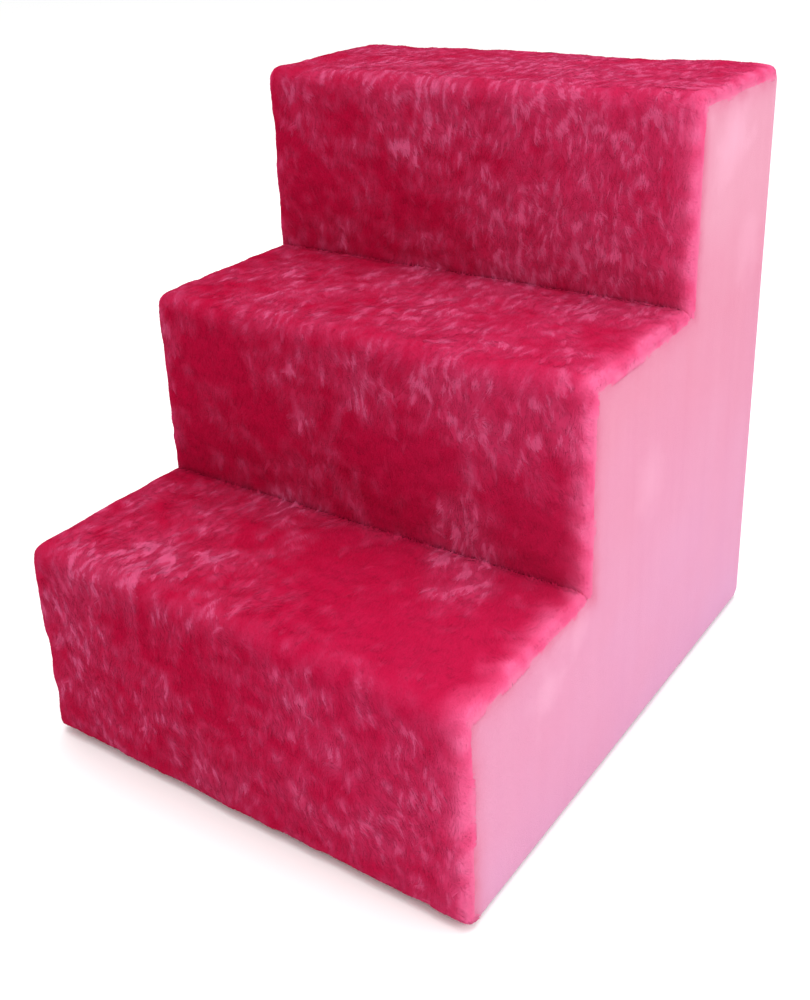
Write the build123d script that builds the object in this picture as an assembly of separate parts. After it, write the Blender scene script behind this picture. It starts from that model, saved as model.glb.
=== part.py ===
from build123d import *
import os

# Pet stairs: a plywood carcass, foam over its steps, plush covers and plain cloth sides.
# X runs across, Y from the front to the back and Z up from the floor, in millimetres.

# The bare carcass
step_count = 3
rise = 145
going = 150
top_going = 132
carcass_width = 355

# Boards and battens
board = 12
back_board = 6
board_nose = 2
back_corner = 4
cleat = 20
rail_width = 20
rail_height = 30

# Foam and plush over the steps
foam = 6
foam_nose = 8
plush = 9
plush_nose = 14
plush_side = 7.5
plush_edge = 6
plush_foot = 8
tuck_gap = 3
fold_lap = 5
backing = 1.5
tack_width = 12

# Plain cloth and wadding on the sides and the back
cloth = 1.8
back_turn = 25

# The underside
hem = 2
hem_width = 16
dust_sheet = 1
dust_inset = 12
glide_height = 3
glide_radius = 11
glide_edge = 1.2
glide_inset = 25
glide_web = 1

# Screws and nails: radii of shank and head, depth of the sunk head, length of the point
fastener_tip = 0.3
screw_shank = 1.75
screw_head = 3.5
screw_sink = 2.2
screw_point = 5
cleat_screw = 28
tread_screw = 30
side_screw = 35
nail_shank = 0.8
nail_head = 1.8
nail_sink = 0.9
nail_length = 22
nail_point = 2.5
glide_nail_shank = 1.1
glide_nail_head = 2.5
glide_nail_sink = 1.2
glide_nail_length = 20
# These are many and small, so their round forms have flat sides
fastener_sides = 6
glide_sides = 20

# Wire staples
staple_width = 10
staple_leg = 8
wire = 0.7
wire_width = 1.2

# Play round a fastener and between two edges that meet
fit = 0.15
# How far a cutting solid runs past what it cuts
overrun = 20

# Places along a piece, as shares of its length
tread_screw_shares = (0.25, 0.8)
cleat_screw_shares = (0.1, 0.55)
riser_screw_shares = (0.25, 0.75)
side_rail_screw_shares = (0.2, 0.8)
front_rail_screw_shares = (0.2, 0.8)
upright_nail_shares = (0.2, 0.5, 0.8)
cross_nail_shares = (0.3, 0.7)
tuck_staple_shares = (0.12, 0.37, 0.63, 0.88)
rim_riser_staple_shares = (0.5,)
rim_tread_staple_shares = (0.5,)
back_staple_shares = (0.2, 0.8)
side_hem_staple_shares = (0.3, 0.8)
cross_hem_staple_shares = (0.3, 0.7)
back_hem_staple_share = 0.33
side_dust_staple_shares = (0.3, 0.7)
cross_dust_staple_shares = (0.35, 0.65)

# Heights, depths and half widths that several pieces share
steps = range(1, step_count + 1)
sides = {"left": -1, "right": 1}
tack_room = backing + wire + fit
wadding = tack_room
base_z = glide_height + dust_sheet + hem
board_half = carcass_width / 2
inner_half = board_half - board
outer_half = board_half + plush_side
carcass_depth = (step_count - 1) * going + top_going
overall_depth = plush + foam + carcass_depth + plush_side
front_y = plush + foam - overall_depth / 2
back_y = front_y + carcass_depth
panel_y = back_y - back_board
front_rail_y = front_y + board + rail_width / 2
back_rail_y = panel_y - rail_width / 2
foot_rail_z = base_z + rail_height / 2


def board_top(step):
    """Height of a step's bare tread board."""
    return base_z + step * rise


def face_y(step):
    """Front face of a step's bare riser board."""
    return front_y + (step - 1) * going


def riser_foot(step):
    """Where a riser board stands: on the carcass's underside or on the tread below."""
    return base_z if step == 1 else board_top(step - 1)


def between(low, high, share):
    return low + (high - low) * share


def slab(x_ends, y_ends, z_ends):
    """A square-edged piece between two ends along each axis."""
    ends = (x_ends, y_ends, z_ends)
    size = [high - low for low, high in ends]
    middle = [between(low, high, 1 / 2) for low, high in ends]
    return Pos(*middle) * Box(*size)


def outline(points, corners=(), radius=0):
    """A closed flat outline, with the corners that are named rounded."""
    face = make_face(Polyline(*points, close=True))
    if not corners:
        return face
    vertices = face.vertices()
    return fillet([vertices.sort_by_distance(corner)[0] for corner in corners], radius)


def across(face, x_low, x_high):
    """A side-view outline carried across from one X to another."""
    return extrude(Plane.YZ.offset(x_low) * face, amount=x_high - x_low)


def noses():
    return [(face_y(step), board_top(step)) for step in steps]


def stair_profile(inset, low, back):
    """The stairs in side view, with the stepped edge moved inwards by an inset."""
    points = [(front_y + inset, low)]
    for step in steps:
        points.append((face_y(step) + inset, board_top(step) - inset))
        end = face_y(step + 1) + inset if step < step_count else back
        points.append((end, board_top(step) - inset))
    return points + [(back, low)]


# Where the layers of one step begin and end


def cover_foot(step):
    """Lower edge of a step's foam and plush. Above the first step they stand on the tacked edge below."""
    return base_z if step == 1 else board_top(step - 1) + tack_room


def tuck_y(step):
    """Back end of a step's plush, just clear of the plush on the next riser."""
    return face_y(step + 1) - foam - plush - tuck_gap


def foam_end(step):
    """Back end of a step's foam, which the plush wraps down over."""
    return tuck_y(step) - plush_side if step < step_count else back_y


# Fasteners, each with its head at the origin and its point down


def flat_sided(rings, side_count):
    """A round form about Z, given as radii and heights, with flat sides in place of curved ones."""
    corners = [
        [place.position + Vector(0, 0, z) for place in PolarLocations(radius, side_count)]
        for radius, z in rings
    ]
    faces = [Face(Wire.make_polygon(ring)) for ring in (corners[0], corners[-1])]
    for ring, following in zip(corners, corners[1:]):
        for i in range(side_count):
            around = [ring[i - 1], ring[i], following[i], following[i - 1]]
            faces.append(Face(Wire.make_polygon(around)))
    return Solid(Shell(faces))


def pointed(length, shank, head, sink, point, play=0):
    """A fastener with a sunk conical head, or with some play the hole that it fills."""
    rings = [(head, 0), (shank, -sink), (shank, point - length), (fastener_tip, -length)]
    return flat_sided([(radius + play, z) for radius, z in rings], fastener_sides)


def screw(length, play=0):
    return pointed(length, screw_shank, screw_head, screw_sink, screw_point, play)


def nail(play=0):
    return pointed(nail_length, nail_shank, nail_head, nail_sink, nail_point, play)


def glide_nail(play=0):
    return pointed(glide_nail_length, glide_nail_shank, glide_nail_head, glide_nail_sink, nail_point, play)


def staple():
    """A wire staple whose crown lies on the surface at the origin."""
    half = staple_width / 2
    legs = [(half, -staple_leg), (half - wire, -staple_leg), (half - wire, 0)]
    mirrored = [(-x, z) for x, z in reversed(legs)]
    points = [(-half, wire), (half, wire)] + legs + mirrored
    return extrude(Plane.XZ * outline(points), amount=wire_width / 2, both=True)


def staple_slots():
    """The two slots that a staple's legs fill."""
    half = staple_width / 2
    across_wire = (-wire_width / 2 - fit, wire_width / 2 + fit)
    down = (-staple_leg - fit, 0)
    left = slab((-half - fit, wire - half + fit), across_wire, down)
    right = slab((half - wire - fit, half + fit), across_wire, down)
    return [left, right]


# Where fasteners go. Each place turns the fastener to point the right way.
point_down = Rot(0, 0, 0)
point_up = Rot(180, 0, 0)
point_forward = Rot(-90, 0, 0)
quarter_turn = Rot(0, 0, 90)


def point_inward(side):
    return Rot(0, side * 90, 0)


def point_outward(side):
    return Rot(0, -side * 90, 0)


def cleat_ends(step):
    """Front and back end of the cleats under a tread."""
    back = face_y(step + 1) + board if step < step_count else panel_y
    return face_y(step) + board, back


def tread_screw_places():
    places = []
    for side in sides.values():
        for step in steps:
            for share in tread_screw_shares:
                y = between(*cleat_ends(step), share)
                places.append(Pos(side * (inner_half - cleat / 2), y, board_top(step)) * point_down)
    return places


def cleat_screw_places():
    places = []
    for side in sides.values():
        for step in steps:
            z = board_top(step) - board - cleat / 2
            for share in cleat_screw_shares:
                y = between(*cleat_ends(step), share)
                places.append(Pos(side * (inner_half - cleat), y, z) * point_outward(side))
    return places


def side_screw_places():
    """Through the side boards into the ends of the risers and of the back rail."""
    places = []
    for side in sides.values():
        for step in steps:
            y = face_y(step) + board / 2
            for share in riser_screw_shares:
                z = between(riser_foot(step), board_top(step) - board, share)
                places.append(Pos(side * board_half, y, z) * point_inward(side))
        places.append(Pos(side * board_half, back_rail_y, foot_rail_z) * point_inward(side))
    return places


def rail_screw_places():
    """From the rails out into the side boards and forward into the first riser."""
    places = []
    for side in sides.values():
        for share in side_rail_screw_shares:
            y = between(front_rail_y, back_rail_y, share)
            places.append(Pos(side * (inner_half - rail_width), y, foot_rail_z) * point_outward(side))
    for share in front_rail_screw_shares:
        x = between(-inner_half, inner_half, share)
        places.append(Pos(x, front_rail_y + rail_width / 2, foot_rail_z) * point_forward)
    return places


def back_nail_places():
    """Through the back panel into the side boards, the back rail and the top tread."""
    places = []
    top = board_top(step_count)
    for side in sides.values():
        for share in upright_nail_shares:
            z = between(base_z, top, share)
            places.append(Pos(side * (board_half - board / 2), back_y, z) * point_forward)
    for share in cross_nail_shares:
        x = between(-inner_half, inner_half, share)
        for z in (foot_rail_z, top - board / 2):
            places.append(Pos(x, back_y, z) * point_forward)
    return places


def tuck_staple_places():
    """On the plush's tacked edge, along the foot of the second and third riser."""
    places = []
    for step in steps[:-1]:
        y = face_y(step + 1) - foam - plush / 2
        for share in tuck_staple_shares:
            x = between(-board_half, board_half, share)
            places.append(Pos(x, y, board_top(step) + backing) * point_down)
    return places


def rim_staple_places():
    """On the plush's tacked edge, round the stepped edges of the side boards and across the back."""
    places = []
    line = fold_lap + tack_width / 2
    for side in sides.values():
        x = side * (board_half + backing)
        for step in steps:
            for share in rim_riser_staple_shares:
                z = between(riser_foot(step), board_top(step), share)
                places.append(Pos(x, face_y(step) + line, z) * point_inward(side))
            for share in rim_tread_staple_shares:
                y = between(face_y(step), cleat_ends(step)[1], share)
                place = Pos(x, y, board_top(step) - line) * point_inward(side) * quarter_turn
                places.append(place)
    for share in back_staple_shares:
        x = between(-inner_half, inner_half, share)
        places.append(Pos(x, back_y + backing, board_top(step_count) - line) * point_forward)
    return places


def hem_staple_places():
    """Under the base, through the hems into the boards' lower edges."""
    places = []
    z = base_z - hem
    for side in sides.values():
        x = side * (board_half - board / 2)
        for share in side_hem_staple_shares:
            place = Pos(x, between(front_y, back_y, share), z) * point_up * quarter_turn
            places.append(place)
    for share in cross_hem_staple_shares:
        x = between(-inner_half, inner_half, share)
        places.append(Pos(x, front_y + board / 2, z) * point_up)
        y = between(panel_y, back_y - dust_inset, back_hem_staple_share)
        places.append(Pos(x, y, z) * point_up)
    return places


def dust_staple_places():
    """Under the base, through the dust cover into the rails."""
    places = []
    for side in sides.values():
        x = side * (inner_half - rail_width / 2)
        for share in side_dust_staple_shares:
            place = Pos(x, between(front_rail_y, back_rail_y, share), glide_height) * point_up
            places.append(place * quarter_turn)
    for share in cross_dust_staple_shares:
        x = between(-inner_half, inner_half, share)
        for y in (front_rail_y, back_rail_y):
            places.append(Pos(x, y, glide_height) * point_up)
    return places


def glide_places():
    places = {}
    for name, side in sides.items():
        x = side * (inner_half - glide_inset)
        places[f"glide_front_{name}"] = Pos(x, front_rail_y, 0)
        places[f"glide_back_{name}"] = Pos(x, back_rail_y, 0)
    return places


def glide_nail_places():
    """Each nail's head is moulded into its glide, just above the foot."""
    return [place * Pos(0, 0, glide_web) * point_up for place in glide_places().values()]


# Every hole that a fastener needs, wherever it falls
holes = [place * screw(tread_screw, fit) for place in tread_screw_places()]
holes += [place * screw(cleat_screw, fit) for place in cleat_screw_places() + rail_screw_places()]
holes += [place * screw(side_screw, fit) for place in side_screw_places()]
holes += [place * nail(fit) for place in back_nail_places()]
holes += [place * glide_nail(fit) for place in glide_nail_places()]
for place in tuck_staple_places() + rim_staple_places() + hem_staple_places() + dust_staple_places():
    holes += [place * slot for slot in staple_slots()]
hole_boxes = [hole.bounding_box() for hole in holes]


def drilled(piece):
    """A piece with the holes of every fastener that passes through it."""
    box = piece.bounding_box()
    found = []
    for hole, around in zip(holes, hole_boxes):
        apart = [
            low > high
            for low, high in (
                (around.min.X, box.max.X),
                (around.min.Y, box.max.Y),
                (around.min.Z, box.max.Z),
                (box.min.X, around.max.X),
                (box.min.Y, around.max.Y),
                (box.min.Z, around.max.Z),
            )
        ]
        if not any(apart):
            found.append(hole)
    return piece - found if found else piece


# The carcass


def side_board(side):
    """Plywood cut to the stairs' profile, its nosings eased like the treads'."""
    face = outline(stair_profile(0, base_z, panel_y), noses(), board_nose)
    x_low, x_high = sorted((side * inner_half, side * board_half))
    return across(face, x_low, x_high)


def tread_board(step):
    """Rests on its riser and runs back under the next riser, or to the back panel."""
    front, top = face_y(step), board_top(step)
    back = cleat_ends(step)[1]
    points = [(front, top - board), (front, top), (back, top), (back, top - board)]
    return across(outline(points, [(front, top)], board_nose), -inner_half, inner_half)


def riser_board(step):
    y_ends = (face_y(step), face_y(step) + board)
    return slab((-inner_half, inner_half), y_ends, (riser_foot(step), board_top(step) - board))


def back_panel():
    """Covers the back edges of the side boards, its upright edges rounded."""
    panel = slab((-board_half, board_half), (panel_y, back_y), (base_z, board_top(step_count)))
    outer = panel.edges().filter_by(Axis.Z).group_by(Axis.Y)[-1]
    return fillet(outer, back_corner)


def tread_cleat(step, side):
    x_ends = sorted((side * (inner_half - cleat), side * inner_half))
    top = board_top(step) - board
    return slab(x_ends, cleat_ends(step), (top - cleat, top))


def cross_rail(middle_y):
    y_ends = (middle_y - rail_width / 2, middle_y + rail_width / 2)
    return slab((-inner_half, inner_half), y_ends, (base_z, base_z + rail_height))


def side_rail(side):
    x_ends = sorted((side * (inner_half - rail_width), side * inner_half))
    y_ends = (front_rail_y + rail_width / 2, back_rail_y - rail_width / 2)
    return slab(x_ends, y_ends, (base_z, base_z + rail_height))


# Foam and plush


def foam_wrap(step):
    """Thin foam up the riser, round the nosing and back over the tread."""
    face, top, foot, end = face_y(step), board_top(step), cover_foot(step), foam_end(step)
    points = [
        (face, foot),
        (face - foam, foot),
        (face - foam, top + foam),
        (end, top + foam),
        (end, top),
        (face, top),
    ]
    rounded = outline(points, [(face - foam, top + foam)], foam_nose)
    corner = rounded.vertices().sort_by_distance((face, top))[0]
    return across(fillet(corner, board_nose), -board_half, board_half)


def cover_block(step):
    """The outer form of a step's plush, side folds included, with its long edges rounded."""
    face, top = face_y(step), board_top(step)
    outer_y, outer_z = face - foam - plush, top + foam + plush
    lap_y, lap_z = face + fold_lap, top - fold_lap
    foot = base_z - hem if step == 1 else cover_foot(step)
    corners = [(outer_y, outer_z)]
    points = [(lap_y, foot), (outer_y, foot), (outer_y, outer_z)]
    if step < step_count:
        end, lap_end = tuck_y(step), face_y(step + 1) + fold_lap
        points += [(end, outer_z), (end, top), (lap_end, top), (lap_end, lap_z)]
    else:
        end = back_y + plush_side
        points += [(end, outer_z), (end, lap_z)]
        corners.append((end, outer_z))
    points.append((lap_y, lap_z))
    profile = outline(points, corners, plush_nose)
    if step == 1:
        corner = profile.vertices().sort_by_distance((outer_y, foot))[0]
        profile = fillet(corner, plush_foot)
    block = across(profile, -outer_half, outer_half)
    rims = block.edges().group_by(Axis.X)
    long_edges = [
        edge
        for edge in rims[0] + rims[-1]
        if edge.center().Y < face or edge.center().Z > outer_z - plush
    ]
    return fillet(long_edges, plush_edge)


def cover_core(step):
    """What fills a step's plush: the foam and the carcass under it."""
    face, top = face_y(step), board_top(step)
    far_y = back_y if step == step_count else back_y + overrun
    foot = base_z if step == 1 else base_z - overrun
    points = [(far_y, foot), (face - foam, foot), (face - foam, top + foam)]
    if step < step_count:
        points += [(foam_end(step), top + foam), (foam_end(step), top)]
        points.append((far_y, top))
    else:
        points.append((far_y, top + foam))
    profile = outline(points, [(face - foam, top + foam)], foam_nose)
    return across(profile, -board_half, board_half)


def tacked_edges(step):
    """The bare backing that is stapled down: along both sides, and in the tuck or across the back."""
    face, top = face_y(step), board_top(step)
    lap_y, lap_z = face + fold_lap, top - fold_lap
    foot = cover_foot(step) + fit
    if step < step_count:
        end = face_y(step + 1) + fold_lap
        half = board_half - fit
        tuck = slab((-half, half), (tuck_y(step) - fit, face_y(step + 1)), (top, top + backing))
    else:
        end = back_y - back_corner
        half = board_half - back_corner
        tuck = slab((-half, half), (back_y, back_y + backing), (lap_z - tack_width, lap_z + fit))
    points = [
        (lap_y - fit, foot),
        (lap_y - fit, lap_z + fit),
        (end, lap_z + fit),
        (end, lap_z - tack_width),
        (lap_y + tack_width, lap_z - tack_width),
        (lap_y + tack_width, foot),
    ]
    edges = [tuck]
    for side in sides.values():
        x_low, x_high = sorted((side * board_half, side * (board_half + backing)))
        edges.append(across(outline(points), x_low, x_high))
    return edges


def step_cover(step):
    """One step's plush, folded over the sides and tucked in at the foot of the next riser."""
    cover = cover_block(step) - cover_core(step) + tacked_edges(step)
    if step == 1:
        y_ends = (front_y - foam, front_y + hem_width)
        cover += slab((-board_half, board_half), y_ends, (base_z - hem, base_z))
    return cover


# Cloth and wadding on the sides and the back


def wrapped(inner, outer, inset, low):
    """A layer on the right side, turned round the upright back corner and cut to the stepped edge."""
    turn_x = board_half - back_turn
    points = [
        (board_half + inner, front_y),
        (board_half + outer, front_y),
        (board_half + outer, back_y + outer),
        (turn_x, back_y + outer),
        (turn_x, back_y + inner),
        (board_half + inner, back_y + inner),
    ]
    plan = outline(points, [(board_half + outer, back_y + outer)], back_corner + outer)
    corner = plan.vertices().sort_by_distance((board_half + inner, back_y + inner))[0]
    plan = fillet(corner, back_corner + inner)
    wall = extrude(Plane.XY.offset(low) * plan, amount=board_top(step_count) - low)
    stairs = outline(stair_profile(inset, low, back_y + outer))
    return wall & across(stairs, turn_x, board_half + outer)


def on_side(piece, side):
    """A piece made for the right side, put on either side."""
    return piece if side > 0 else mirror(piece, about=Plane.YZ)


def side_wadding(side):
    inset = fold_lap + tack_width + fit
    return on_side(wrapped(0, wadding, inset, base_z), side)


def side_cover(side):
    """Plain cloth, with its lower edge hemmed under the side board."""
    cover = wrapped(wadding, wadding + cloth, fold_lap + fit, base_z - hem)
    x_ends = (board_half - hem_width, board_half + wadding)
    y_ends = (front_y + hem_width + fit, back_y + wadding)
    cover += slab(x_ends, y_ends, (base_z - hem, base_z))
    return on_side(cover, side)


def back_half_width():
    return board_half - back_turn - fit


def back_wadding():
    half = back_half_width()
    top = board_top(step_count) - fold_lap - tack_width - fit
    return slab((-half, half), (back_y, back_y + wadding), (base_z, top))


def back_cover():
    """Plain cloth between the sides' turned edges, hemmed under the back rail."""
    half = back_half_width()
    top = board_top(step_count) - fold_lap - fit
    sheet = slab((-half, half), (back_y + wadding, back_y + wadding + cloth), (base_z - hem, top))
    return sheet + slab((-half, half), (back_y - hem_width, back_y + wadding), (base_z - hem, base_z))


def dust_cover():
    half = board_half - dust_inset
    y_ends = (front_y + dust_inset, back_y - dust_inset)
    return slab((-half, half), y_ends, (glide_height, glide_height + dust_sheet))


def glide():
    """A round plastic foot with a bevelled edge, moulded over its nail's head."""
    rings = [(glide_radius - glide_edge, 0), (glide_radius, glide_edge), (glide_radius, glide_height)]
    return flat_sided(rings, glide_sides)


# All pieces by node
pieces = {}
for step in steps:
    pieces[f"tread_board_{step}"] = tread_board(step)
    pieces[f"riser_board_{step}"] = riser_board(step)
    pieces[f"foam_wrap_{step}"] = foam_wrap(step)
    pieces[f"step_cover_{step}"] = step_cover(step)
for name, side in sides.items():
    pieces[f"side_board_{name}"] = side_board(side)
    pieces[f"base_rail_{name}"] = side_rail(side)
    pieces[f"side_wadding_{name}"] = side_wadding(side)
    pieces[f"side_cover_{name}"] = side_cover(side)
    for step in steps:
        pieces[f"tread_cleat_{name}_{step}"] = tread_cleat(step, side)
pieces["back_panel"] = back_panel()
pieces["base_rail_front"] = cross_rail(front_rail_y)
pieces["base_rail_back"] = cross_rail(back_rail_y)
pieces["back_wadding"] = back_wadding()
pieces["back_cover"] = back_cover()
pieces["dust_cover"] = dust_cover()
for name, place in glide_places().items():
    pieces[name] = place * glide()
pieces = {name: drilled(piece) for name, piece in pieces.items()}

fasteners = {
    "glide_nails": [place * glide_nail() for place in glide_nail_places()],
    "tread_screws": [place * screw(tread_screw) for place in tread_screw_places()],
    "cleat_screws": [place * screw(cleat_screw) for place in cleat_screw_places()],
    "rail_screws": [place * screw(cleat_screw) for place in rail_screw_places()],
    "side_screws": [place * screw(side_screw) for place in side_screw_places()],
    "back_nails": [place * nail() for place in back_nail_places()],
    "tuck_staples": [place * staple() for place in tuck_staple_places()],
    "rim_staples": [place * staple() for place in rim_staple_places()],
    "hem_staples": [place * staple() for place in hem_staple_places()],
    "dust_staples": [place * staple() for place in dust_staple_places()],
}
for name, group in fasteners.items():
    pieces[name] = Compound(children=[item.solid() for item in group])

os.makedirs("parts", exist_ok=True)
for name, piece in pieces.items():
    export_step(piece, f"parts/{name}.step")
    print(name, len(piece.solids()))
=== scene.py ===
# %% [markdown]
# # Pet stairs
# Three soft steps for a small dog or an old cat. A plywood carcass carries thin foam, long hot-pink plush is
# folded over every step, and the sides and the back are covered in a plain light-pink cloth. This lesson
# dresses the carcass that the CAD model gives: first the camera, then the plush and its pile, then the cloth,
# and last the wood, the metal, the floor and the light.

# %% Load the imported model
import math
import bpy
import numpy as np
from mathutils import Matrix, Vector, noise
from mathutils.bvhtree import BVHTree
from mathutils.kdtree import KDTree


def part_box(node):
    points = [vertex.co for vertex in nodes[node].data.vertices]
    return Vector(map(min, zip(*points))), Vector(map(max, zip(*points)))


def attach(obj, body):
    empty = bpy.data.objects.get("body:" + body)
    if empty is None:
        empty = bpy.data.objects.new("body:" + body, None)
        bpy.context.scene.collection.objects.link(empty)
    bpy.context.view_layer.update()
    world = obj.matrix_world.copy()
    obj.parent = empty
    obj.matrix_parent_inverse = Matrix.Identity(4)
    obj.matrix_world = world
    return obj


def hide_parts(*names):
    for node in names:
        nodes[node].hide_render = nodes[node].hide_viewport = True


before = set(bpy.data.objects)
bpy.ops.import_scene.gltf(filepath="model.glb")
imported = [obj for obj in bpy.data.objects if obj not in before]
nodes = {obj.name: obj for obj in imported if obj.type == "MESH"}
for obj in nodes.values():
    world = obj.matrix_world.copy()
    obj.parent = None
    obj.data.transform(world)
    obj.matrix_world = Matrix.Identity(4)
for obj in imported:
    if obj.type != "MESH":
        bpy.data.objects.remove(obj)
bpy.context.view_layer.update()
mm = 0.001

# %% [markdown]
# ## The camera
# The picture was taken from the front right and a little above. The camera comes first, because every later
# judgement is made through it. Its place and turn were fitted to the corners of the three steps.

# %% Camera
scene = bpy.context.scene
camera_turn = [math.radians(angle) for angle in (66.515, 2.603, 35.301)]
bpy.ops.object.camera_add(location=(0.485, -0.6924, 0.5973), rotation=camera_turn)
camera = bpy.context.object
camera.data.sensor_fit = "AUTO"
camera.data.sensor_width = 36
camera.data.lens = 44.6
camera.data.shift_x = 0.0228
camera.data.shift_y = -0.0991
scene.camera = camera
print("camera at", [round(c, 3) for c in camera.location])

# %% [markdown]
# ## Sizes read from the carcass
# The cloth and the plush follow the boards, so the boards' own faces give the places. Nothing is typed twice.

# %% Places of the boards
steps = (1, 2, 3)
face = {n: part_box(f"riser_board_{n}")[0].y for n in steps}
top = {n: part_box(f"tread_board_{n}")[1].z for n in steps}
foam_low = {n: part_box(f"foam_wrap_{n}")[0] for n in steps}
foam_high = {n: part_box(f"foam_wrap_{n}")[1] for n in steps}
cover_foot = {n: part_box(f"step_cover_{n}")[0].z for n in steps}
board_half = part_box("side_board_right")[1].x
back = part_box("back_panel")[1].y
foam = face[1] - foam_low[1].y
side_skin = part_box("side_cover_right")[1].x
back_skin, back_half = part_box("back_cover")[1].y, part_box("back_cover")[1].x
cloth_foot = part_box("side_cover_right")[0].z
print("risers at", face, "treads at", top, "half width", board_half)

# %% [markdown]
# ## A flat strip, ready to be folded
# Plush and cloth come off a roll, so each piece starts as a flat grid. It is then folded round the boards in
# code: every point of the grid knows how far along and how far across the strip it lies, and a fold gives
# that point its place on the step. A Solidify modifier adds the cloth's thickness afterwards.

# %% Helpers for pieces
def select_only(piece):
    if bpy.context.mode != "OBJECT":
        bpy.ops.object.mode_set(mode="OBJECT")
    bpy.ops.object.select_all(action="DESELECT")
    piece.select_set(True)
    bpy.context.view_layer.objects.active = piece


def flat_strip(name, width, length, spacing):
    """A flat grid of small squares, lying on XY with its middle at the origin."""
    bpy.ops.object.select_all(action="DESELECT")
    across, along = (max(2, round(side / spacing)) for side in (width, length))
    bpy.ops.mesh.primitive_grid_add(x_subdivisions=across, y_subdivisions=along, size=1)
    piece = bpy.context.object
    piece.name = piece.data.name = name
    bpy.ops.transform.resize(value=(width, length, 1))
    bpy.ops.object.transform_apply(location=True, rotation=True, scale=True)
    return piece


def rows_of(items, name, kind=np.float32):
    """Three numbers for each point or triangle of a mesh, in rows."""
    found = np.zeros(len(items) * 3, kind)
    items.foreach_get(name, found)
    return found.reshape(-1, 3)


def points_of(piece):
    return rows_of(piece.data.vertices, "co").astype(float)


def place_points(piece, points):
    piece.data.vertices.foreach_set("co", np.asarray(points, np.float32).ravel())
    piece.data.update()


def use_modifier(piece, kind, **settings):
    """Adds one modifier and applies it."""
    select_only(piece)
    modifier = piece.modifiers.new(kind.title(), kind)
    for name, value in settings.items():
        setattr(modifier, name, value)
    bpy.ops.object.modifier_apply(modifier=modifier.name)


def edit_all(piece, operator, **settings):
    """Runs one of Edit Mode's operators with all of a piece selected."""
    select_only(piece)
    bpy.ops.object.mode_set(mode="EDIT")
    bpy.ops.mesh.select_all(action="SELECT")
    operator(**settings)
    bpy.ops.object.mode_set(mode="OBJECT")


def thicken(piece, thickness, degrees, **settings):
    """Gives a sheet its thickness, inwards, turns its faces outwards and smooths it up to an angle."""
    use_modifier(piece, "SOLIDIFY", thickness=thickness, offset=-1, **settings)
    edit_all(piece, bpy.ops.mesh.normals_make_consistent, inside=False)
    bpy.ops.object.shade_smooth_by_angle(angle=math.radians(degrees))


def painted(mesh, name, *values):
    """Keeps up to three numbers for each point of a mesh, as a colour that its material can read."""
    shade = np.ones((len(mesh.vertices), 4), np.float32)
    for i, value in enumerate(values):
        shade[:, i] = value
    mesh.attributes.new(name, "FLOAT_COLOR", "POINT").data.foreach_set("color", shade.ravel())


def finish_piece(piece, slot, material, *replaced):
    """Gives a piece its material, hangs it on the root body and hides the parts that it stands for. The slot
    is not used.
    """
    piece.data.materials.clear()
    piece.data.materials.append(material)
    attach(piece, "root")
    if replaced:
        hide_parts(*replaced)
    print(piece.name, len(piece.data.polygons), "faces")


# %% [markdown]
# ## Node materials
# Each finish is a small set of nodes on Object coordinates, so a pattern has its real scale in metres and
# stays put from every side. The helpers keep the later cells short: a noise, a ramp of colours, a bump.

# %% Helpers for materials
def colour(red, green, blue):
    """A colour as it is seen on a screen, from 0 to 255, as the linear values that Blender takes."""
    seen = [c / 255 for c in (red, green, blue)]
    return [c / 12.92 if c <= 0.04045 else ((c + 0.055) / 1.055) ** 2.4 for c in seen] + [1]


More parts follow.
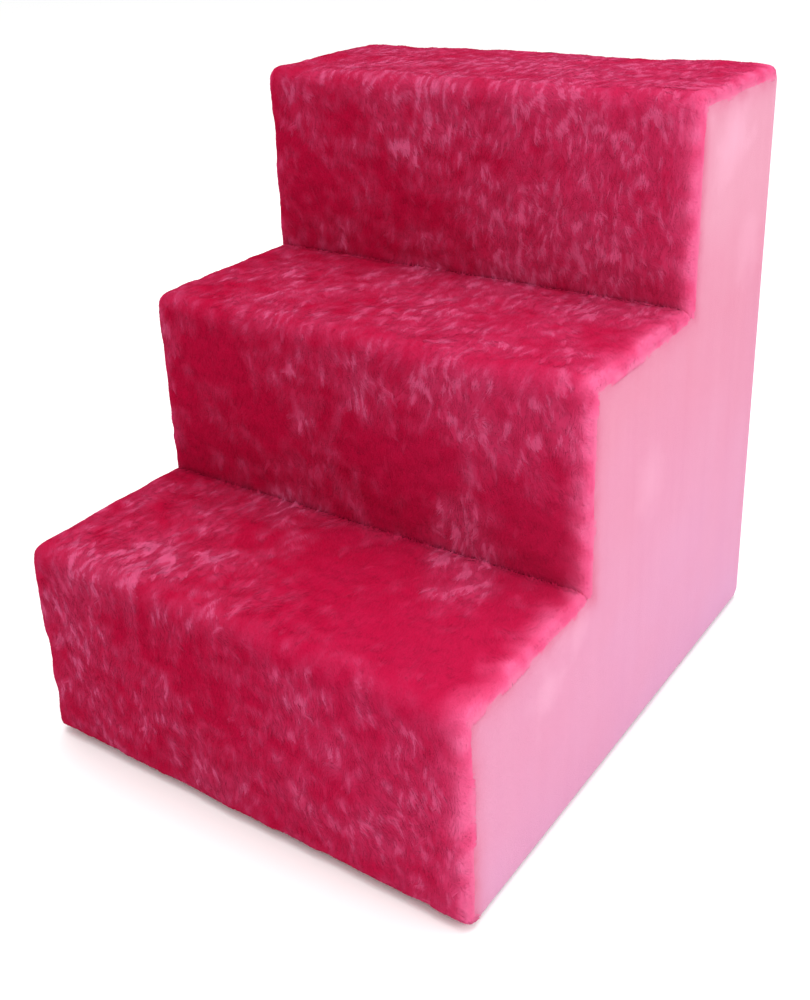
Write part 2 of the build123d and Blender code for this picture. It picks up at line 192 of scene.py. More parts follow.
class Finish:
    """A material with a Principled shader, and short ways to add nodes to it."""

    def __init__(self, name, roughness, **sockets):
        self.material = bpy.data.materials.new(name)
        self.material.use_nodes = True
        self.nodes = self.material.node_tree.nodes
        self.link = self.material.node_tree.links.new
        self.shader = self.filled(self.nodes["Principled BSDF"], Roughness=roughness, **sockets)
        self.place = self.node("TexCoord").outputs["Object"]

    def feed(self, value, socket):
        """Links a socket to another node's output, or gives it a plain value."""
        if isinstance(value, bpy.types.NodeSocket):
            self.link(value, socket)
        else:
            socket.default_value = value

    def filled(self, node, **sockets):
        """Feeds sockets by their names, with _ for a space."""
        for name, value in sockets.items():
            self.feed(value, node.inputs[name.replace("_", " ")])
        return node

    def node(self, kind, **sockets):
        return self.filled(self.nodes.new("ShaderNode" + kind), **sockets)

    def stretched(self, scale):
        """Object coordinates, stretched along some axes."""
        return self.node("Mapping", Vector=self.place, Scale=scale).outputs["Vector"]

    def noise(self, scale, detail=3, roughness=0.5, distortion=0, where=None):
        node = self.node("TexNoise", Vector=where or self.place, Scale=scale, Detail=detail)
        return self.filled(node, Roughness=roughness, Distortion=distortion).outputs["Fac"]

    def ramp(self, value, *stops):
        """Colours at shares of a value, each given as (share, colour)."""
        node = self.node("ValToRGB", Fac=value)
        marks = node.color_ramp.elements
        while len(marks) < len(stops):
            marks.new(0.5)
        for mark, (share, shade) in zip(marks, stops):
            mark.position = share
            mark.color = shade
        return node.outputs["Color"]

    def mix(self, share, first, second, blend="MIX"):
        node = self.node("Mix")
        node.data_type = "RGBA"
        node.blend_type = blend
        return self.filled(node, Factor=share, A=first, B=second).outputs["Result"]

    def axis(self, which):
        """How far a place lies along x, y or z, counted from 0."""
        return self.node("SeparateXYZ", Vector=self.place).outputs[which]

    def maths(self, operation, first, second=0):
        node = self.node("Math")
        node.operation = operation
        self.feed(first, node.inputs[0])
        self.feed(second, node.inputs[1])
        return node.outputs["Value"]

    def bump(self, height, distance, strength=1):
        node = self.node("Bump", Height=height, Distance=distance, Strength=strength)
        self.feed(node.outputs["Normal"], self.shader.inputs["Normal"])

    def attribute(self, name):
        """The three numbers that painted() keeps under a name."""
        node = self.node("Attribute")
        node.attribute_name = name
        return list(self.node("SeparateColor", Color=node.outputs["Color"]).outputs)

    def coloured(self, shade):
        self.feed(shade, self.shader.inputs["Base Color"])
        return self.material


def grained(name, roughness, pattern, depth, dark, light, **sockets):
    """A finish whose colour and bump follow one noise, given by its scale, detail and so on."""
    finish = Finish(name, roughness, **sockets)
    grain = finish.noise(*pattern)
    finish.bump(grain, depth)
    return finish.coloured(finish.ramp(grain, (0.3, colour(*dark)), (0.7, colour(*light))))


# %% [markdown]
# ## The plush's finish
# The pile is not one pink. Its roots sink into a deep crimson, smooth areas stay crimson and ruffled locks
# catch the light in a dusty pink, partly painted in as sheen, while the folded edges are painted a bright hot
# pink as a highlight where the light catches them. Every point of the plush therefore carries two numbers:
# how pale it is, and how far it is painted towards the lit pink of a folded edge. Two ramps turn them
# into a colour.

# %% Plush materials
pile_finish = Finish(
    "plush_pile", 0.8, Sheen_Weight=0.1, Sheen_Roughness=0.4, Sheen_Tint=colour(255, 120, 170),
    Specular_IOR_Level=0,
)


def plush_shade(finish):
    pale, edge, _ = finish.attribute("pile")
    face_shade = finish.ramp(
        pale, (0, colour(147, 4, 40)), (0.12, colour(163, 12, 50)), (0.5, colour(173, 40, 77)),
        (1, colour(194, 74, 113)),
    )
    # painted highlight: the folds' hot pink stands for light catching the fibres; the last stop blends the
    # fringe into the cloth
    lit_fold_colour = finish.ramp(
        edge, (0, colour(222, 38, 102)), (0.8, colour(221, 93, 138)), (1, colour(206, 118, 150))
    )
    return finish.mix(edge, face_shade, lit_fold_colour)


pile_material = pile_finish.coloured(plush_shade(pile_finish))
ground_finish = Finish("plush_ground", 0.9, Specular_IOR_Level=0)
ground_finish.bump(ground_finish.noise(900, 2), 0.0008)
ground_material = ground_finish.coloured(plush_shade(ground_finish))

# %% [markdown]
# ## How a cover is folded
# Seen from the side, a cover climbs the riser, turns over the nosing, runs back over the tread and drops into
# the tuck at the foot of the next riser. That is the path along the strip. Across the strip the plush runs
# from one side to the other and folds down over both edges of the step, where the cloth meets it. The plush
# is stretched tight, so a path with rounded corners does better here than a cloth simulation.

# %% Sizes of the covers
ground = 4 * mm         # woven ground and dense underpile, above the foam
skin_side = 5 * mm      # the same over the side boards
backing = 1.6 * mm      # the woven backing alone, where the pile is left off
lap = -3 * mm           # how far inside the boards' edge a cover ends: less than 0, so on the foam's edge
border = foam + ground + lap    # the same end, measured inwards from the plush
hem = 16 * mm           # what a cover or a cloth has to spare under the base
nose_radius = 13 * mm
back_radius, foot_radius = 8 * mm, 8 * mm   # over the top step's back edge, and at the first step's foot
edge_radius = 6 * mm    # where the plush folds over a side
corner_radius = 8 * mm  # the upright back corner, for plush and cloth alike
tuck_radius, crease_radius = 2.5 * mm, 1 * mm   # where a cover drops into the tuck, and at its bottom
pressed = 1.2 * mm      # how far the plush of a tread is pressed into the riser behind it
over_back_cloth = 0.8 * mm  # how far the plush of the top step stands out behind the back cloth
foot_gap = 0.6 * mm     # a side fold ends this far above the foot of its cover
plush_front = {n: foam_low[n].y - ground for n in steps}
plush_top = {n: foam_high[n].z + ground for n in steps}
cloth_front = {n: face[n] + lap for n in steps}
cloth_top = {n: top[n] - lap for n in steps}
print("the plush ends", round(border / mm, 2), "mm inside its outline")


# %% The path of a cover
def rounded(points, radii):
    """Points along a path in the side view, with its corners rounded."""
    path = [np.array(points[0], float)]
    for before, corner, after, radius in zip(points, points[1:], points[2:], radii):
        before, corner, after = (np.array(p, float) for p in (before, corner, after))
        leave = (before - corner) / np.linalg.norm(before - corner)
        enter = (after - corner) / np.linalg.norm(after - corner)
        centre = corner + (leave + enter) * radius
        start, end = corner + leave * radius, corner + enter * radius
        for share in np.linspace(0, 1, 9):
            turn = math.pi / 2 * share
            path.append(centre + (start - centre) * math.cos(turn) + (end - centre) * math.sin(turn))
    path.append(np.array(points[-1], float))
    return np.array(path)


def length_of(path):
    return np.linalg.norm(np.diff(path, axis=0), axis=1).sum()


def walk(path, shares):
    """Points at shares of a path's length."""
    reach = np.concatenate([[0], np.cumsum(np.linalg.norm(np.diff(path, axis=0), axis=1))])
    return np.stack([np.interp(shares * reach[-1], reach, path[:, axis]) for axis in (0, 1)], 1)


def cover_path(n):
    """The outer side-view path of a step's plush, as (y, z) points."""
    front, height = plush_front[n], plush_top[n]
    if n == 1:
        points, radii = [(face[n] + hem, cover_foot[n]), (front, cover_foot[n])], [foot_radius]
    else:
        points, radii = [(front, cover_foot[n])], []
    points.append((front, height))
    radii.append(nose_radius)
    if n < 3:
        rear, under = plush_front[n + 1] + pressed, top[n] + backing
        points += [(rear, height), (rear, under), (cloth_front[n + 1], under)]
        radii += [tuck_radius, crease_radius]
    else:
        rear = back_skin + over_back_cloth
        points += [(rear, height), (rear, cloth_top[n])]
        radii.append(back_radius)
    return rounded(points, radii)


def path_length(n):
    return length_of(cover_path(n))


# %% The folds over the sides
def bent(distance, start, radius):
    """How far along and how far in a sheet lies once it is bent a quarter turn past a start."""
    angle = np.clip((distance - start) / radius, 0, math.pi / 2)
    past = np.clip(distance - start - radius * math.pi / 2, 0, None)
    onward = np.where(distance < start, distance, start + radius * np.sin(angle))
    return onward, radius * (1 - np.cos(angle)) + past


def inner_point(n, place):
    """Where the side fold ends, straight inwards from a point of the path."""
    y, z = place
    if z > cloth_top[n] and n == 3 and y > back - lap - edge_radius:
        return np.array([min(y, back - lap), cloth_top[n]])
    return np.array([max(y, cloth_front[n]), min(max(z, cover_foot[n] + foot_gap), cloth_top[n])])


def rounded_corner(places):
    """Draws places at the upright back corners in, from a square corner to a round one."""
    start = np.array([side_skin, back_skin]) - corner_radius
    past = np.stack([np.abs(places[:, 0]), places[:, 1]], 1) - start
    share = np.where((past > 0).all(1), past.max(1) / np.maximum(np.linalg.norm(past, axis=1), 1e-9), 1)
    x, y = (start + past * share[:, None]).T
    return np.stack([np.sign(places[:, 0]) * x, y, places[:, 2]], 1)


flat_half = board_half + skin_side - edge_radius
strip_width = 2 * (flat_half + edge_radius * math.pi / 2 + border - edge_radius)


def folded(n, flat):
    """Folds a flat strip over a step. The strip's x runs across and its y along the path."""
    places = walk(cover_path(n), flat[:, 1] / (flat[:, 1].max() * 2) + 0.5)
    aside, depth = bent(np.abs(flat[:, 0]), flat_half, edge_radius)
    inner = np.array([inner_point(n, place) for place in places])
    at = places + (inner - places) * (depth / depth.max())[:, None]
    return rounded_corner(np.stack([np.sign(flat[:, 0]) * aside, at[:, 0], at[:, 1]], 1))


print("strip", round(strip_width, 3), "wide,", [round(path_length(n), 3) for n in steps], "long")

# %% Where a cover is bare, and where it lies still
edge_calm, tuck_calm = 5 * mm, 8 * mm   # lumps grow to their full height over these widths


def carries_pile(n, places):
    """True as far back as the next riser's plush, also on the folded edges."""
    return places[:, 1] < (plush_front[n + 1] - 1 * mm if n < 3 else 1)


def is_tucked(n, places):
    """True under the foot of the next riser, where there is backing but no pile."""
    return ~carries_pile(n, places) & (places[:, 2] > top[n]) & (np.abs(places[:, 0]) < board_half)


def depth_of(places):
    """How deep places lie inside the stairs' outline, seen from the side, and the way further in."""
    behind = np.stack([places[:, 1] - plush_front[n] for n in steps], 1)
    under = np.stack([plush_top[n] - places[:, 2] for n in steps], 1)
    depth = np.minimum(behind, under)
    best = depth.argmax(1)[:, None]
    behind, under, depth = (np.take_along_axis(values, best, 1)[:, 0] for values in (behind, under, depth))
    behind, under = np.maximum(behind, 0.1 * mm), np.maximum(under, 0.1 * mm)
    inwards = np.stack([np.zeros(len(places)), under, -behind], 1) / (behind + under)[:, None]
    return depth, inwards


def calm_at_edges(n, places):
    """0 at the stapled edges of a cover and where it meets another in a tuck, and 1 a few mm further on."""
    on_side = np.abs(places[:, 0]) > board_half
    side = np.where(on_side, (border - depth_of(places)[0]) / edge_calm, 1)
    rear = np.where(places[:, 1] > back, (places[:, 2] - cloth_top[3]) / edge_calm, 1) if n == 3 else 1
    tuck = (plush_front[n + 1] - places[:, 1]) / tuck_calm if n < 3 else 1
    foot = (places[:, 2] - plush_top[n - 1]) / tuck_calm if n > 1 else 1
    return np.clip(np.minimum(np.minimum(side, rear), np.minimum(tuck, foot)), 0, 1)


# %% Fold the plush's ground over each step
grounds = {}
for n in steps:
    cover = flat_strip(f"plush_cover_{n}", strip_width, path_length(n), 3 * mm)
    places = folded(n, points_of(cover))
    place_points(cover, places)
    thick = cover.vertex_groups.new(name="thick")
    thick.add(np.flatnonzero(~is_tucked(n, places)).tolist(), 1, "REPLACE")
    lumpy = cover.vertex_groups.new(name="lumpy")
    for i, share in enumerate(calm_at_edges(n, places)):
        lumpy.add([i], share, "REPLACE")
    grounds[n] = cover
    print(cover.name, len(places), "points")

# %% [markdown]
# ## Lumps under the plush
# Stuffed by hand and stepped on by paws, the foam is never flat. Two Displace modifiers with soft cloud
# textures, one for slow lumps and one for small dents, move the ground in and out by a millimetre or two. A
# vertex group keeps them off the stapled edges and the tucks, and the ground's thickness comes later.

# %% Swell the covers
lump_height, dent_height = 3 * mm, 2 * mm


def clouds(name, scale):
    texture = bpy.data.textures.new(name, "CLOUDS")
    texture.noise_scale = scale
    texture.noise_depth = 1
    return texture


lumps, dents = clouds("lumps", 55 * mm), clouds("dents", 14 * mm)
for n in steps:
    for texture, height in ((lumps, lump_height), (dents, dent_height)):
        use_modifier(
            grounds[n], "DISPLACE", texture=texture, texture_coords="LOCAL", strength=height, mid_level=0.5,
            vertex_group="lumpy",
        )

# %% [markdown]
# ## The pile
# Up close the plush is two things. A dense short underpile lies almost flat and gives the smooth crimson, and
# over it longer locks lift and curl where a hand or a paw has ruffled them. Both are thrown over the cover as
# random roots, and each root takes the direction of its patch. Hair curves would be quicker, but they aren't
# a mesh, so each strand here is a slim closed blade, made in mesh code. That leaves real geometry, which the
# model keeps when it leaves Blender.


# %% Throw roots over a cover
def triangles_of(piece, wanted):
    """Corner indices and areas of the triangles whose centre and normal are wanted."""
    piece.data.calc_loop_triangles()
    corners = rows_of(piece.data.loop_triangles, "vertices", np.int32)
    points = points_of(piece)[corners]
    across = np.cross(points[:, 1] - points[:, 0], points[:, 2] - points[:, 0])
    area = np.linalg.norm(across, axis=1) / 2
    keep = wanted(points.mean(1), across / np.maximum(area, 1e-12)[:, None] / 2)
    return corners[keep], area[keep]


def unit(vectors):
    return vectors / np.maximum(np.linalg.norm(vectors, axis=1), 1e-9)[:, None]


def throw(piece, corners, area, count, draw):
    """Random places on triangles, with the surface's normals there."""
    points = points_of(piece)
    normals = rows_of(piece.data.vertex_normals, "vector")
    chosen = corners[draw.choice(len(corners), count, p=area / area.sum())]
    a, b = draw.random((2, count, 1))
    a, b = np.where(a + b > 1, 1 - a, a), np.where(a + b > 1, 1 - b, b)
    weights = (1 - a - b, a, b)
    place = sum(w * points[chosen[:, i]] for i, w in enumerate(weights))
    normal = sum(w * normals[chosen[:, i]] for i, w in enumerate(weights))
    return place, unit(normal)


def nearest(centres, places):
    """For each place, the number of the patch centre that lies nearest to it."""
    tree = KDTree(len(centres))
    for i, centre in enumerate(centres):
        tree.insert(centre, i)
    tree.balance()
    return np.array([tree.find(place)[1] for place in places])


# %% Directions over a cover
noise.seed_set(5)   # otherwise noise_vector starts from the clock, and each run brushes the plush anew


def swirl(places, size, seed):
    """A smooth field of directions, one for each place."""
    shift = Vector((seed * 3.7, seed * 1.3, seed * 2.1))
    return np.array([noise.noise_vector(Vector(p) / size + shift) for p in places])


def noise_at(places, size=1, shift=(0, 0, 0)):
    """Soft noise at each place, in lumps of about this size."""
    return np.array([noise.noise(Vector(p) / size + Vector(shift)) for p in places])


def on_surface(vectors, normals):
    return unit(vectors - normals * (vectors * normals).sum(1)[:, None])


# %% [markdown]
# ## Strands that hug the cover
# A strand that went straight on from its root would stick out over each nosing like a bristle. So every point
# of a strand is moved to the nearest place on the cover and raised a little above it, and the strand bends
# with the plush. At the border it may run a few millimetres on, as a fringe over the cloth. At the foot of a
# riser it turns out over the tread in front, and hides the tuck.

# %% Hug the cover
overhang = 4 * mm                   # how far a strand may reach past the cover's own edge
side_zone = board_half + 2 * mm     # a point further out than this lies on a side
fuzz = 0.5 * mm                     # how far a strand stays off the side cloth, a tread or the floor
back_fuzz = 0.6 * mm                # the same off the back cloth


def surface_of(n):
    """The part of a cover that carries pile, as a tree that finds the nearest place on it."""
    corners, _ = triangles_of(grounds[n], lambda centre, normal: carries_pile(n, centre))
    return BVHTree.FromPolygons(points_of(grounds[n]).tolist(), corners.tolist())


surfaces = {n: surface_of(n) for n in steps}


def nearest_on(n, places):
    """The nearest places on a cover, and its normals there."""
    found = [surfaces[n].find_nearest(place)[:2] for place in places.tolist()]
    return (np.array([pair[i] for pair in found]).reshape(-1, 3) for i in (0, 1))


def splayed(n, places, normal):
    """Strands that reach the foot of the second or third riser lie out over the tread in front of it."""
    foot, front = plush_top[n - 1], plush_front[n]
    by_tuck = (places[:, 1] > front - 2 * mm) & (np.abs(places[:, 0]) < side_zone)
    sunk = by_tuck & (places[:, 2] < foot)
    out = places[sunk]
    out[:, 1] = front - 0.8 * (foot - out[:, 2])
    out[:, 2] = foot
    nearby, facing = nearest_on(n - 1, out)
    places[sunk], normal[sunk] = nearby + fuzz * facing, facing
    return places, normal


def hugged(n, places, height):
    """Moves points to a height above the cover, and gives its normals there."""
    nearby, normal = nearest_on(n, places)
    along = places - nearby
    along -= normal * (along * normal).sum(1)[:, None]
    along *= np.minimum(1, overhang / np.maximum(np.linalg.norm(along, axis=1), 1e-6))[:, None]
    raised = nearby + along + normal * np.broadcast_to(height, len(places))[:, None]
    over_cloth = (np.abs(raised[:, 0]) > side_zone) & (depth_of(raised)[0] > border)
    outside = np.sign(raised[:, 0]) * np.maximum(np.abs(raised[:, 0]), side_skin + fuzz)
    raised[:, 0] = np.where(over_cloth, outside, raised[:, 0])
    over_back = (raised[:, 1] > back) & (raised[:, 2] < cloth_top[3] + 1 * mm)
    behind = np.maximum(raised[:, 1], back_skin + back_fuzz)
    raised[:, 1] = np.where(over_back, behind, raised[:, 1])
    raised = rounded_corner(raised)
    return splayed(n, raised, normal) if n > 1 else (raised, normal)


# %% [markdown]
# ## Closed blades in one mesh
# A blade has a root, a tip and one or two rings of three points between them: one ring bends it, and two
# make an S. It is shaded with the normals of the cover below it, so the pile takes the light as one soft
# surface and not as a heap of splinters. Its tip is a little paler than its root.

# %% Build the blades
ring_shape = ((1, -0.1), (-1, -0.1), (0, 0.4))  # sideways and up, in half widths
sharpest = 0.3      # the cosine of the sharpest turn that a strand may make before it is left out
root_to_tip = 0.14  # how much paler a tip is than a root
bake_margin = 0.02  # keeps the blades' places on the baked picture off its edges


def blade_faces(ring_count):
    """The corners of one blade's faces: its root is point 0, then come the rings, and last its tip."""
    tris, quads = [(0, 2, 1), (0, 3, 2), (0, 1, 3)], []
    for a in range(1, 3 * ring_count - 2, 3):
        b = a + 3
        quads += [(a, a + 1, b + 1, b), (a + 1, a + 2, b + 2, b + 1), (a + 2, a, b, b + 2)]
    a, end = 3 * ring_count - 2, 3 * ring_count + 1
    tris += [(a, a + 1, end), (a + 1, a + 2, end), (a + 2, a, end)]
    return tris, quads


def blades(name, root, rings, tip, half_width, along, paleness, edge):
    """Joins each root, one or two rings of three points and each tip into closed blades, and colours them."""
    chain = [root, *(place for place, normal in rings), tip]
    parts = [unit(after - before) for before, after in zip(chain, chain[1:])]
    keep = np.min([(before * after).sum(1) for before, after in zip(parts, parts[1:])], 0) > sharpest
    chain = [places[keep] for places in chain]
    normals = [normal[keep] for place, normal in rings]
    half_width, paleness, edge = half_width[keep], paleness[keep], edge[keep]
    count, size = len(edge), 2 + 3 * len(rings)
    points = np.zeros((count, size, 3))
    shading = np.zeros((count, size, 3))
    points[:, 0], points[:, -1] = chain[0], chain[-1]
    shading[:, 0], shading[:, -1] = normals[0], normals[-1]
    for i, normal in enumerate(normals):
        across = unit(np.cross(chain[i + 2] - chain[i], normal))
        for k, (aside, up) in enumerate(ring_shape):
            offset = across * aside + normal * up
            points[:, 1 + 3 * i + k] = chain[i + 1] + offset * half_width[:, None] * (1 - 0.3 * i)
            shading[:, 1 + 3 * i + k] = normal + 0.1 * offset
    points[:, :, 2] = np.maximum(points[:, :, 2], fuzz)
    tris, quads = blade_faces(len(rings))
    pattern = np.array([i for shape in tris + quads for i in shape])
    loops = (pattern[None] + np.arange(count)[:, None] * size).ravel()
    sizes = np.tile([3] * len(tris) + [4] * len(quads), count)
    mesh = bpy.data.meshes.new(name)
    mesh.vertices.add(count * size)
    mesh.vertices.foreach_set("co", points.astype(np.float32).ravel())
    mesh.loops.add(len(loops))
    mesh.loops.foreach_set("vertex_index", loops.astype(np.int32))
    mesh.polygons.add(len(sizes))
    mesh.polygons.foreach_set("loop_start", np.concatenate([[0], np.cumsum(sizes)[:-1]]).astype(np.int32))
    mesh.update(calc_edges=True)
    pale = np.clip(paleness[:, None] + root_to_tip * (np.array(along) - 0.6), 0, 1)
    painted(mesh, "pile", pale.ravel(), np.repeat(edge, size))
    lay_out_bake(mesh, pale, edge, pattern)
    piece = bpy.data.objects.new(name, mesh)
    scene.collection.objects.link(piece)
    select_only(piece)
    bpy.ops.object.shade_smooth()
    mesh.normals_split_custom_set_from_vertices(unit(shading.reshape(-1, 3)).tolist())
    return piece


def lay_out_bake(mesh, pale, edge, pattern):
    """Lays the blades' UV map out by their two numbers, so that a small baked picture holds every shade."""
    count, size = pale.shape
    nudge = np.array([0] + [-1, 0, 1] * ((size - 2) // 3) + [0]) * 0.003
    bake = np.zeros((count, size, 2), np.float32)
    bake[:, :, 0] = bake_margin + (1 - 2 * bake_margin) * pale
    bake[:, :, 1] = bake_margin + (1 - 2 * bake_margin) * edge[:, None] + nudge
    mesh.uv_layers.new(name="OFBake").data.foreach_set("uv", bake[:, pattern].ravel())


# %% [markdown]
# ## How the plush was brushed
# On the risers the nap hangs down, and on the treads it lies towards the front. Along the folded edges it
# runs over the edge and on to the cloth. A slow swirl turns it in wide areas and a quick one in small ones.

# %% The nap's direction and the rim's colour
def side_share(places):
    """0 on the face of a step, 1 on its folded edges."""
    return np.clip((np.abs(places[:, 0]) - (board_half - 2.5 * mm)) / (3.5 * mm), 0, 1)


def brushed(centre, up, base):
    """Direction of the nap, on the surface."""
    edge = side_share(centre)[:, None]
    middle = base + 0.9 * swirl(centre, 50 * mm, 1) + 0.7 * swirl(centre, 16 * mm, 2)
    over = depth_of(centre)[1] + np.stack([0.8 * np.sign(centre[:, 0]), *np.zeros((2, len(centre)))], 1)
    return on_surface(middle * (1 - edge) + (over + 0.35 * middle) * edge, up)


def lit_rim_tint(places):
    """How far the crimson has turned to the rim's pink, a painted highlight that reaches further in on the
    lit right.
    """
    uneven = noise_at(places, 15 * mm)
    x = places[:, 0] / mm
    # painted light: the right-hand edge, lit from that side, is paler further in
    lit_right_edge = np.clip((x - 148 + 9 * uneven) / 34, 0, 1) ** 2
    # painted light: the whole face grows a little paler towards the lit right
    lit_towards_right = 0.15 * np.clip((x + 20 + 60 * uneven) / 150, 0, 1)
    # painted sheen, on the left fold only
    left = np.clip((-x - 177 + 2 * uneven) / 5, 0, 1) ** 2
    fringe = np.clip(depth_of(places)[0] / (9 * mm) - 0.4, 0, 1) * side_share(places)
    return 0.82 * np.maximum(np.maximum(lit_right_edge, lit_towards_right), left) + 0.18 * fringe


# %% [markdown]
# ## Where the plush is ruffled
# Ruffled plush is dusty all over and has paler wisps, drawn out along the nap. How ruffled a place is comes
# from soft noise and a few listed patches, whose places were judged. The wisps are noise that is longer along
# the steps' profile than across it, and a swirl bends them.

# %% Ruffled and smooth patches
# In mm: across, back and up, then how wide, and how much more or less ruffled.
patches = np.array([
    (137, -226, 115, 42, 0.3), (159, -226, 58, 38, 0.25), (106, -226, 145, 38, 0.15),
    (-30, -226, 99, 50, -0.35), (-63, -226, 127, 30, -0.3), (43, -226, 57, 36, -0.1),
    (-115, -220, 157, 28, 0.35), (38, -224, 162, 42, 0.15), (-100, -226, 80, 70, 0.25),
    (30, -226, 50, 70, 0.15), (-56, -217, 164, 42, 0.15), (-142, -200, 164, 28, 0.2),
    (-44, -150, 164, 45, 0.1), (53, -137, 164, 42, -0.7), (142, -193, 164, 36, -0.7),
    (104, -104, 164, 26, 0.9), (163, -112, 164, 28, -0.35), (-101, -76, 237, 48, -0.4),
    (-137, -76, 270, 28, -0.2), (143, -76, 262, 38, 0.4), (136, -76, 192, 28, -0.7),
    (97, -76, 186, 22, 0.75), (76, -76, 275, 28, 0.25), (42, -76, 208, 34, -0.35),
    (-49, -2, 309, 80, 0.2), (127, -34, 309, 45, -0.05), (-133, -18, 309, 40, 0.1),
    (-111, 75, 384, 48, -0.4), (114, 75, 384, 38, 0.05), (131, 75, 329, 28, 0.3),
    (47, 75, 313, 18, 0.4), (-7, 75, 416, 38, -0.2), (-37, 75, 337, 38, -0.25),
    (-36, 122, 454, 95, 0.35), (86, 128, 454, 95, 0.35),
])


def ruffle(centre):
    """How ruffled the plush is, from 0 to 1."""
    wide, small = noise_at(centre, 42 * mm, (7, 3, 1)), noise_at(centre, 13 * mm, (2, 9, 4))
    level = 0.38 + 0.45 * wide + 0.55 * small
    for *middle, radius, more in patches * (mm, mm, mm, mm, 1):
        level += more * np.exp(-((centre - middle) ** 2).sum(1) / (2 * radius**2))
    return np.clip(level, 0, 1)


def tone(places):
    """How pale the plush is: a dusty veil where it is ruffled, with paler wisps along the nap, partly painted
    sheen.
    """
    curled = places + 6 * mm * swirl(places, 24 * mm, 5)
    wisp = noise_at(curled / (4.2 * mm, 11 * mm, 11 * mm))
    level = ruffle(places)
    raised = 0.72 * np.clip(2.6 * wisp, 0, 1) * level * (0.3 + 0.9 * level)
    return 0.12 + 0.88 * np.clip(0.52 * level + raised - 0.06, 0, 1)


# %% [markdown]
# ## Underpile and locks
# The underpile is short, bent and almost flat. It is denser on the folded edges, where it has to hide the
# border. A lock is a bundle of strands that starts wide, follows one S-shaped curl and closes towards its
# tip. Smooth patches have hardly any locks.

# %% Strands of the underpile
pile_patch, lock_patch = 40 * mm * mm, 34 * mm * mm     # area for each change of direction


def grow_underpile(name, n, wanted, base, count, draw):
    """Short strands, whose direction changes from patch to patch."""
    corners, area = triangles_of(grounds[n], wanted)
    centre, up = throw(grounds[n], corners, area, int(area.sum() / pile_patch), draw)
    middles = points_of(grounds[n])[corners].mean(1)
    denser = 1 + side_share(middles) * (1.2 + 6 * np.clip(depth_of(middles)[0] / mm - 4, 0, 2) / 2)
    root, normal = throw(grounds[n], corners, area * denser, count, draw)
    patch = nearest(centre, root)
    way = on_surface(brushed(centre, up, base)[patch] + draw.normal(0, 0.11, (count, 3)), normal)
    size = draw.uniform(6, 9.5, count) * mm * (1 - 0.3 * side_share(root))
    height = size * draw.uniform(0.6, 1.4, count) * (0.012 + 0.03 * ruffle(centre)[patch])
    middle, facing = hugged(n, root + 0.35 * size[:, None] * way, height)
    tip, _ = hugged(n, root + size[:, None] * way, height)
    paleness = np.clip(tone(middle) + draw.normal(0, 0.03, count), 0, 1)
    half_width = draw.uniform(0.26, 0.42, count) * mm
    start = root - 0.5 * mm * normal
    along = (0.1, 0.4, 0.4, 0.4, 1)
    return blades(name, start, [(middle, facing)], tip, half_width, along, paleness, lit_rim_tint(middle))


# %% Strands of the locks
def grow_locks(name, n, wanted, base, count, draw):
    """Bundles of strands that follow one S-shaped curl."""
    corners, area = triangles_of(grounds[n], wanted)
    centre, up = throw(grounds[n], corners, area, int(area.sum() / lock_patch), draw)
    chance = np.clip(2.4 * tone(centre) - 0.5, 0.02, 1) * (1 - 0.7 * side_share(centre))
    keep = draw.random(len(centre)) < chance
    centre, up = centre[keep], up[keep]
    lock_count = len(centre)
    lock = draw.integers(0, lock_count, count)
    way = on_surface(brushed(centre, up, base) + draw.normal(0, 0.3, (lock_count, 3)), up)
    across = np.cross(up, way)
    length = draw.uniform(8, 15, lock_count)[:, None] * mm * (1 - 0.5 * side_share(centre)[:, None])
    curl = draw.uniform(-0.3, 0.3, (lock_count, 1))
    height = length * draw.uniform(0.01, 0.028, (lock_count, 1))
    spread = draw.normal(0, 1, (count, 2)) * mm
    aside = across[lock] * spread[:, :1] * 1.2 + way[lock] * spread[:, 1:] * 1.6
    own = draw.uniform(0.8, 1.12, (count, 1))

    def bend(closed, onward, sideways, raised):
        """Where the strands are at one share of their curl, and the cover's normals there."""
        reach = (length * (onward * way + sideways * curl * across))[lock] * own
        return hugged(n, centre[lock] + aside * closed + reach, (raised * height[lock] * own)[:, 0])

    rings = [bend(0.9, 0.3, 1, 0.9), bend(0.7, 0.7, -0.5, 1.1)]
    tip, _ = bend(0.45, 1, 0.4, 0.9)
    paleness = tone(rings[0][0]) + draw.normal(0.07, 0.06, lock_count)[lock]
    paleness = np.clip(paleness + draw.normal(0, 0.03, count), 0, 1)
    half_width = draw.uniform(0.17, 0.27, count) * mm
    start, _ = hugged(n, centre[lock] + aside, -0.8 * mm)
    along = (0.1, 0.4, 0.4, 0.4, 0.75, 0.75, 0.75, 1)
    return blades(name, start, rings, tip, half_width, along, paleness, lit_rim_tint(rings[0][0]))


# %% Grow the pile
nose_share = 0.3    # the share of a nosing's height that counts as tread
tread_edge = {n: plush_top[n] - nose_share * nose_radius for n in steps}


def on_riser(n):
    """Tells which triangles of a cover carry the riser's pile."""
    foot = cover_foot[1] - 0.5 * mm if n == 1 else plush_top[n - 1] - 2 * mm
    side_foot = foot if n == 1 else cover_foot[n] + 3 * mm

    def wanted(centre, normal):
        low = np.where(np.abs(centre[:, 0]) < board_half, foot, side_foot)
        front = (centre[:, 2] < tread_edge[n]) & (centre[:, 2] > low) & (centre[:, 1] < cloth_front[n])
        return front & ((normal[:, 1] < -0.2) | (np.abs(normal[:, 0]) > 0.3))
    return wanted


def on_tread(n):
    """Tells which triangles of a cover carry the tread's pile."""

    def wanted(centre, normal):
        behind = (centre[:, 1] >= cloth_front[n]) & (centre[:, 2] > cloth_top[n] - 1 * mm)
        return ((centre[:, 2] >= tread_edge[n]) | behind) & carries_pile(n, centre)
    return wanted


